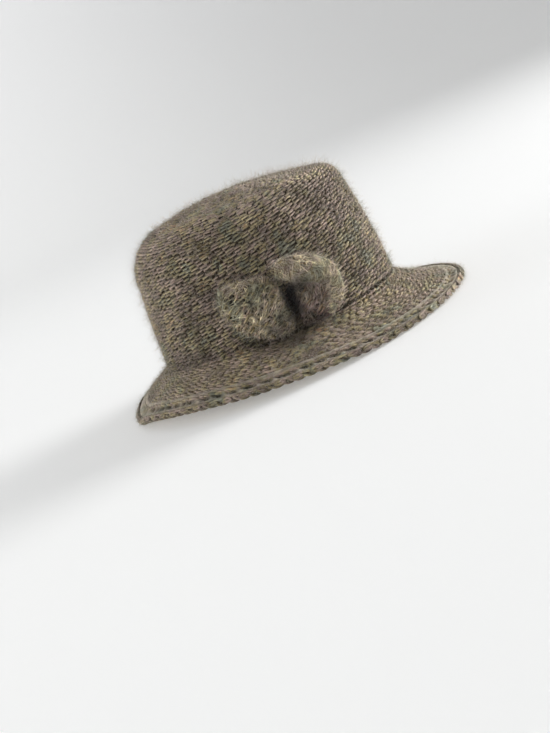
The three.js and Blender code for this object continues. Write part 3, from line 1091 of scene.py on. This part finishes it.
# %% The bow's flat drawing
PINCH = {"along": -1.5, "height": 27.0, "clearance": 0.6}
SKEW = 0.5
BACK_LOOP = {
    "along": (-0.4, -1.0, -4.5, -11.0, -21.0, -31.5, -40.0, -46.0, -49.0, -50.0),
    "up": (-4.5, -4.5, -3.0, -0.5, 3.0, 6.5, 9.5, 11.5, 12.5, 12.5),
    "half_height": (0.0, 12.0, 19.5, 23.0, 24.0, 23.0, 20.0, 14.5, 8.0, 0.0),
    "half_depth": (0.0, 4.0, 7.5, 11.0, 13.0, 12.5, 10.5, 7.5, 4.5, 0.0),
    "middle_out": (4.0, 4.0, 7.5, 11.0, 13.0, 12.5, 10.5, 7.5, 4.5, 4.5),
}
FRONT_LOOP = {
    "along": (0.6, 1.5, 5.0, 12.0, 21.0, 28.5, 33.5, 36.5, 37.5),
    "up": (-7.0, -7.0, -8.0, -8.0, -9.0, -9.5, -9.5, -9.5, -9.5),
    "half_height": (0.0, 11.0, 16.0, 18.0, 17.0, 13.5, 9.5, 5.0, 0.0),
    "half_depth": (0.0, 2.5, 4.5, 6.5, 7.5, 7.25, 5.5, 3.5, 0.0),
    "middle_out": (2.5, 2.5, 4.5, 6.5, 7.5, 7.25, 5.5, 3.5, 3.5),
}
ROLL = {
    "along": (4.0, 14.5, 24.0, 31.0, 33.0, 30.5, 24.5),
    "up": (21.5, 16.5, 12.0, 5.0, -4.0, -12.0, -18.5),
    "out": (15.0, 16.0, 15.5, 14.0, 13.0, 12.0, 10.5),
    "radius": (7.5, 9.5, 9.5, 8.5, 7.5, 6.5, 5.0),
}


def on_wall(flat):
    """Wraps points of the flat drawing (along, up, out) onto the crown's wall."""
    turn = np.pi / 2 - (PINCH["along"] + flat[..., 0]) / JOIN["half_length"]
    side_wall = crown_rise(np.pi / 2) - CROWN["corner_radius"][1]
    level = (PINCH["height"] + flat[..., 1]) / side_wall
    return beside(crown_surface, turn, level, PINCH["clearance"] + flat[..., 2])


def roll_line(spot):
    """The middle line of the roll at a spot, its sections being numbered 0, 1, 2 and so on."""
    return np.stack([through(ROLL[name], spot) for name in ("along", "up", "out")], -1)


def roll_way():
    """Spots along the roll's middle line, and the distance to each from its start."""
    spots = np.linspace(0, len(ROLL["along"]) - 1, 200)
    steps = np.linalg.norm(np.diff(roll_line(spots), axis=0), axis=1)
    return spots, np.concatenate([[0], np.cumsum(steps)])


def roll_form(around, place):
    """The roll in the flat drawing: circles about its middle line, with round ends. place is the distance
    along it in millimetres."""
    spots, way = roll_way()
    spot = np.interp(place, way, spots)
    tangent = unit(roll_line(spot + SMALL) - roll_line(spot - SMALL))
    across = unit(np.cross(UP, tangent))
    over = np.cross(tangent, across)
    beyond = np.maximum(0, place - way[-1]) + np.minimum(0, place)
    radius = np.sqrt(np.maximum(0, through(ROLL["radius"], spot) ** 2 - beyond**2))
    angle = around * 2 * np.pi
    ring = across * np.cos(angle)[..., None] + over * np.sin(angle)[..., None]
    return roll_line(spot) + tangent * beyond[..., None] + ring * radius[..., None]


# %% Fabrics of the bow
def raised(form, around, place, out):
    """A point off a closed form in the flat drawing, square to it, then wrapped onto the wall."""
    point = form(around, place)
    across = form(around + SMALL, place) - form(around - SMALL, place)
    along = form(around, place + SMALL) - form(around, place - SMALL)
    normal = unit(np.cross(across, along) + 1e-9)
    return on_wall(point + normal * out[..., None])


def puff_fabric(loop, row_height, sunk):
    """A loop as a fabric whose rows run the long way: out on its front from the gather and back behind.

    In the flat drawing a row climbs by SKEW for each millimetre along. Each is the closed line where the
    loop meets the slanting plane up = level + SKEW along: out = middle +- half depth sqrt(1 - rise^2), rise
    being how far the line is above the loop's middle there, as a share of its half height.
    """
    spots = np.linspace(0, len(loop["along"]) - 1, 1500)
    along, up, half_height = (through(loop[name], spots) for name in ("along", "up", "half_height"))
    order = np.argsort(along)
    along, up, half_height, spots = (values[order] for values in (along, up, half_height, spots))
    up = up - SKEW * along
    levels = np.linspace((up - half_height).min() + 0.05, (up + half_height).max() - 0.05, 300)
    inside = np.abs(levels[:, None] - up) < half_height
    left, right = along[inside.argmax(1)], along[-1 - inside[:, ::-1].argmax(1)]
    spacing = row_height * np.hypot(1, SKEW)

    def form(around, level):
        angle = around * 2 * np.pi
        low, high = np.interp(level, levels, left), np.interp(level, levels, right)
        here = (low + high) / 2 - (high - low) / 2 * np.cos(angle)
        spot = np.interp(here, along, spots)
        height = level + SKEW * here
        rise = (height - through(loop["up"], spot)) / np.maximum(through(loop["half_height"], spot), 0.01)
        depth = through(loop["half_depth"], spot) * np.sqrt(np.clip(1 - rise**2, 0, 1))
        out = through(loop["middle_out"], spot) + depth * np.sign(np.sin(angle))
        return np.stack([here, height, out], -1)

    def fabric(around, row, out):
        return raised(form, around, np.clip(levels[0] + row * spacing, levels[0], levels[-1]), out - sunk)

    return fabric, (levels[-1] - levels[0]) / spacing


def roll_fabric(row_height, sunk):
    """The roll as a fabric whose rows run round it."""
    length = roll_way()[1][-1]
    start, end = -0.96 * ROLL["radius"][0], length + 0.96 * ROLL["radius"][-1]

    def fabric(around, row, out):
        place = np.clip(start + row * row_height, start, end)
        return raised(roll_form, around, place, out - sunk)

    return fabric, (end - start) / row_height


# %% [markdown]
# The bow's colours
#
# The photograph shows the bow darkest in the cleft where it is gathered, and dark on the low sides of its
# back loop and its roll, where the roll overhangs the front loop, and at the front loop's foot. The soft
# studio light gives these hollows too little shadow, so the wool itself is darker in them.

# %% The wool of the bow
def bow_hollow(spot, reach, depth):
    """A hollow of painted shade whose spot is given in the flat drawing."""
    return on_wall(np.array(spot)), reach, depth


# Painted shade in each hollow: a spot in the flat drawing, its reach and its depth.
CLEFT = bow_hollow((1.5, -2.0, 8.0), (40.0, 10.0, 30.0), 0.95)
BACK_SHADE = bow_hollow((-8.0, -14.0, 10.0), (40.0, 30.0, 20.0), 0.6)
ROLL_SHADE = bow_hollow((10.0, 5.0, 14.0), (40.0, 17.0, 13.0), 0.75)
UNDER_ROLL = bow_hollow((9.0, 5.0, 8.0), (40.0, 13.0, 7.0), 0.6)
LOOP_FOOT = bow_hollow((12.0, -25.0, 8.0), (40.0, 20.0, 11.0), 0.6)
back = {"hollows": (CLEFT, BACK_SHADE)}
front = {"hollows": (CLEFT, UNDER_ROLL, LOOP_FOOT)}
roll = {"hollows": (ROLL_SHADE,)}
# Real matting under the open loops, made dark as painted shade in their holes.
bow_felt = felted_wool("bow_felt", strength=0.55, **front)
roll_felt = felted_wool("roll_felt", strength=3.6, **roll)
back_yarn = yarn_wool("back_yarn", strength=(1.6, 1.53, 1.36), ply_pitch=16.0, **back)
front_yarn = yarn_wool("front_yarn", strength=(1.2, 1.02, 1.05), ply_pitch=16.0, **front)
roll_yarn = yarn_wool("roll_yarn", strength=(1.6, 1.52, 1.4), ply_pitch=16.0, **roll)
back_hair = hair_wool("back_hair", strength=(1.34, 1.26, 1.08), locks=0.5, hole_shade=0.85, **back)
front_hair = hair_wool("front_hair", strength=(1.18, 1.02, 1.02), locks=0.65, hole_shade=0.7, **front)
bow_halo = hair_wool("bow_halo", strength=(1.4, 1.32, 1.3), locks=0.4, **front)
roll_hair = hair_wool("roll_hair", strength=(1.62, 1.54, 1.34), locks=0.6, hole_shade=0.5, **roll)


# %% [markdown]
# The bow's knitting
#
# Each part of the bow is a padded core with loops of yarn round it. Cloth can be blown up by a simulation,
# but this bow's folds and sizes are known from the photograph, so the cores follow the drawing instead. The
# two loops are knitted openly and the roll closely.

# %% Cores and loops of the bow
def folded(fabric, depth, seed):
    """A fabric with soft folds: out grows by depth times three slow waves round it and across its rows."""
    phase = np.random.default_rng(seed).uniform(0, 2 * np.pi, 3)

    def fold(around, row, out):
        turn = around * 2 * np.pi
        waves = np.sin(3 * turn + 0.9 * row + phase[0]) + np.sin(5 * turn - 1.3 * row + phase[1])
        return fabric(around, row, out + depth * (waves + np.sin(1.7 * row + phase[2])))

    return fold


OPEN_WORK = {
    "stitch": 9.0,
    "radius": 0.75,
    "core": -2.6,
    "loops": {"pinch": 1.1, "loose": 3.4, "slant": (0.1, 0.0), "depth": 1.0},
}
CLOSE_WORK = {
    "stitch": 7.6,
    "radius": 0.6,
    "core": -0.3,
    "loops": {"pinch": 1.3, "loose": 2.4, "slant": (0.1, 0.0), "depth": 0.3},
}


def bow_core(fabric, row_count, out):
    """A closed skin out from a fabric by some millimetres, from its first row to its last."""
    lap = np.linspace(0, 1, 48, endpoint=False)
    levels = np.linspace(0.02, row_count - 0.02, 40)
    grid = np.stack([fabric(lap, np.full_like(lap, level), np.full_like(lap, out)) for level in levels])
    return closed_skin(grid, np.stack([grid[0].mean(0), grid[-1].mean(0)]))


def bow_rows(fabric, row_count, stitch):
    """Rows spread evenly over a fabric, each with as many stitches as fit round it."""
    rows = []
    for row in range(int(row_count)):
        at = (row + 0.5) * row_count / int(row_count)
        rows.append((at, max(4, int(round(girth(fabric, at) / stitch)))))
    return rows


def make_bow():
    back, back_count = puff_fabric(BACK_LOOP, row_height=5.0, sunk=1.5)
    front, front_count = puff_fabric(FRONT_LOOP, row_height=5.0, sunk=1.2)
    roll, roll_count = roll_fabric(row_height=4.0, sunk=1.0)
    parts = (
        ("bow_back_loop", folded(back, 0.5, 45), back_count, OPEN_WORK, bow_felt, back_yarn),
        ("bow_front_loop", folded(front, 0.3, 46), front_count, OPEN_WORK, bow_felt, front_yarn),
        ("bow_front_roll", folded(roll, 0.3, 47), roll_count, CLOSE_WORK, roll_felt, roll_yarn),
    )
    for index, (name, fabric, count, work, felt, yarn) in enumerate(parts):
        points, faces = bow_core(fabric, count, work["core"])
        core = dress(make_piece(f"{name}_felt", points, faces, felt), "bow_mohair", name)
        rows = bow_rows(fabric, count, work["stitch"])
        points, faces, maps = knit_rows(fabric, rows, work["radius"], seed=41 + index, **work["loops"])
        dress(make_piece(f"{name}_knit", points, faces, yarn, maps), "bow_mohair", name)
    return {name: (fabric, count) for name, fabric, count, *_ in parts}


bow_fabrics = make_bow()

# %% [markdown]
# Loose hairs
#
# Mohair and worn wool carry a haze of fine hairs, which the photograph shows as a pale soft line round the
# hat. Blender's hair system could grow them, but a mesh travels to other programs. Each hair here is a thin
# closed spike with three sides, rooted in the yarn. Short fuzz is straight, longer hairs bend once, and the
# curly locks of the bow lie over its knitting, as mohair does when it is brushed.

# %% Hairs
def spikes(spine, widths, seed):
    """Closed tapered threads with three sides. Gives points, faces and a tone for each point.

    spine has the joints of each thread, and widths a radius at each joint but the last, which is a point.
    The tone is the same all over a thread.
    """
    count, joints = spine.shape[:2]
    rings = joints - 1
    first_way = unit(spine[:, 1] - spine[:, 0])
    side = unit(np.cross(first_way, np.random.default_rng(seed).normal(size=(count, 3))))
    over = np.cross(first_way, side)
    angle = np.arange(3) / 3 * 2 * np.pi
    ring = side[:, None] * np.cos(angle)[:, None] + over[:, None] * np.sin(angle)[:, None]
    circles = spine[:, :rings, None] + ring[:, None] * np.asarray(widths)[:, None, None]
    points = np.concatenate([circles.reshape(count, -1, 3), spine[:, rings:]], 1).reshape(-1, 3)
    points[:, 2] = np.maximum(points[:, 2], 0.1)
    start = np.arange(count)[:, None] * (rings * 3 + 1)
    corner = np.arange(3)
    beside_it = (corner + 1) % 3
    quads = []
    for index in range(rings - 1):
        low, high = start + index * 3, start + index * 3 + 3
        ring_corners = [low + corner, low + beside_it, high + beside_it, high + corner]
        quads.append(np.stack(ring_corners, -1).reshape(-1, 4))
    last = start + (rings - 1) * 3
    tips = np.stack([last + corner, last + beside_it, last + np.full(3, 3)], -1).reshape(-1, 3)
    roots = start + np.array([2, 1, 0])
    tones = np.random.default_rng(seed + 1).uniform(0, 1, count)
    return points, [np.concatenate([tips, roots])] + quads, np.repeat(tones, rings * 3 + 1)


def hairs(fabric, spots, length, radius, bends, seed):
    """Hairs rooted at spots (around, row, out) of a fabric. Each leans over and turns at its bends."""
    rng = np.random.default_rng(seed)
    roots = fabric(*spots)
    around, row, out = spots
    outward = unit(fabric(around, row, out + 0.1) - roots)
    count = len(roots)
    sideways = unit(np.cross(outward, rng.normal(size=(count, 3))))
    way = unit(outward * rng.uniform(0.1, 1.8, (count, 1)) + sideways)
    lengths = length * np.minimum(np.exp(rng.normal(0, 0.4, (count, 1))), 1.1)
    spine = [roots]
    for _ in range(bends):
        spine.append(spine[-1] + way * lengths / bends)
        way = unit(way + rng.normal(0, 0.45, (count, 3)))
    widths = radius * (1 - 0.35 * np.arange(bends) / bends)
    return spikes(np.stack(spine, 1), widths, seed)


def scattered(fabric, rows, count, seed, deepest=-0.5, highest=1.0):
    """Random spots (around, row, out) spread evenly over the area of a fabric."""
    rng = np.random.default_rng(seed)
    tries = count * 6
    around, row = rng.uniform(0, 1, tries), rng.uniform(*rows, tries)
    flat = np.zeros(tries)
    point = fabric(around, row, flat)
    across = fabric(around + SMALL, row, flat) - point
    along = fabric(around, row + SMALL, flat) - point
    area = np.linalg.norm(np.cross(across, along), axis=1)
    chosen = np.nonzero(rng.uniform(0, 1, tries) * np.percentile(area, 98) < area)[0][:count]
    return around[chosen], row[chosen], rng.uniform(deepest, highest, len(chosen))


def combed(fabric, spots, length, radius, heading, lift, seed):
    """Long curly hairs that lie on a fabric in locks.

    heading is the angle in radians between them and its rows. It swings slowly over the fabric by
    0.35 (sin(2 turn + 1.1 row) + sin(3 turn - 0.8 row)), each wave shifted with the seed, and each hair
    strays a little and curls on its way. lift is how high it rises at its middle.
    """
    rng = np.random.default_rng(seed)
    around, row, out = spots
    here = fabric(around, row, out)
    around_scale = np.linalg.norm(fabric(around + SMALL, row, out) - here, axis=1) / SMALL
    row_scale = np.linalg.norm(fabric(around, row + SMALL, out) - here, axis=1) / SMALL
    turn = around * 2 * np.pi
    swing = 0.35 * (np.sin(2 * turn + 1.1 * row + 0.3 * seed) + np.sin(3 * turn - 0.8 * row + 0.7 * seed))
    way = heading + swing + rng.normal(0, 0.3, len(around))
    curl = rng.normal(0, 0.35, len(around))
    stride = length / 4 * np.exp(rng.normal(0, 0.35, len(around)))
    highest = rng.uniform(0.2, 1.0, len(around)) * lift
    across, along, spine = np.zeros(len(around)), np.zeros(len(around)), []
    for joint in range(5):
        lifted = out + highest * np.sin(np.pi * (joint + 0.4) / 4.8)
        spine.append(fabric(around + across / around_scale, row + along / row_scale, lifted))
        across = across + stride * np.cos(way)
        along = along + stride * np.sin(way)
        way = way + curl
    return spikes(np.stack(spine, 1), radius * np.array([0.6, 1.0, 1.0, 0.8]), seed)


def grow_hat_hairs():
    whole_crown, whole_brim, whole_rim = (0, CROWN_ROWS - 1), (0, BRIM_ROWS + 0.7), (0, 1)
    # Each patch: its name, fabric and rows, then its hairs' count, length, radius, bends, wool and slot.
    patches = (
        ("crown_fuzz", crown_fabric, whole_crown, 34000, 5.4, 0.08, 1, hat_hair, "hat_wool"),
        ("crown_hairs", crown_fabric, whole_crown, 7800, 13.0, 0.055, 2, halo_hair, "hat_wool"),
        ("brim_fuzz", brim_fabric, whole_brim, 15000, 5.0, 0.08, 1, brim_hair, "hat_wool"),
        ("brim_hairs", brim_fabric, whole_brim, 2500, 9.0, 0.055, 2, halo_hair, "hat_wool"),
        ("edge_fuzz", rim_fabric, whole_rim, 5000, 3.6, 0.08, 1, brim_hair, "edge_wool"),
        ("edge_hairs", rim_fabric, whole_rim, 1300, 8.0, 0.055, 2, halo_hair, "edge_wool"),
    )
    for index, (name, fabric, rows, count, length, radius, bends, material, slot) in enumerate(patches):
        spots = scattered(fabric, rows, count, seed=51 + index)
        points, faces, tones = hairs(fabric, spots, length, radius, bends, seed=61 + index)
        dress(make_piece(name, points, faces, material, tones=tones), slot)


def grow_bow_hairs():
    # Each part: the wool of its locks and of its fine hairs, how many thick and fine locks, the heading.
    locks = (
        ("bow_back_loop", back_hair, bow_halo, 1000, 1000, 0.2),
        ("bow_front_loop", front_hair, front_hair, 500, 500, 0.8),
        ("bow_front_roll", roll_hair, bow_halo, 500, 1100, 0.8),
    )
    for index, (name, material, veil, thick, fine, heading) in enumerate(locks):
        fabric, row_count = bow_fabrics[name]
        whole = (0.1, row_count - 0.1)
        spots = scattered(fabric, whole, 2000, seed=71 + index)
        points, faces, tones = hairs(fabric, spots, length=7.0, radius=0.055, bends=2, seed=81 + index)
        dress(make_piece(f"{name}_hairs", points, faces, veil, tones=tones), "bow_mohair")
        for kind, count, length, radius in (("strands", thick, 12.0, 0.22), ("locks", fine, 14.0, 0.13)):
            spots = scattered(fabric, whole, count, seed=91 + index, deepest=-0.8, highest=0.8)
            lock_seed = 101 + index
            points, faces, tones = combed(fabric, spots, length, radius, heading, lift=1.5, seed=lock_seed)
            dress(make_piece(f"{name}_{kind}", points, faces, material, tones=tones), "bow_mohair")


grow_hat_hairs()
grow_bow_hairs()

# %% [markdown]
# The last step prints the dressed hat's box beside the solids' box, since wool may stand a little proud
# of them.

# %% Sizes
hat_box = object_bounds()
for label, box in (("solids", cad_box), ("dressed", hat_box)):
    print(label, "box in mm:", [[round(value / MM, 1) for value in corner] for corner in box])
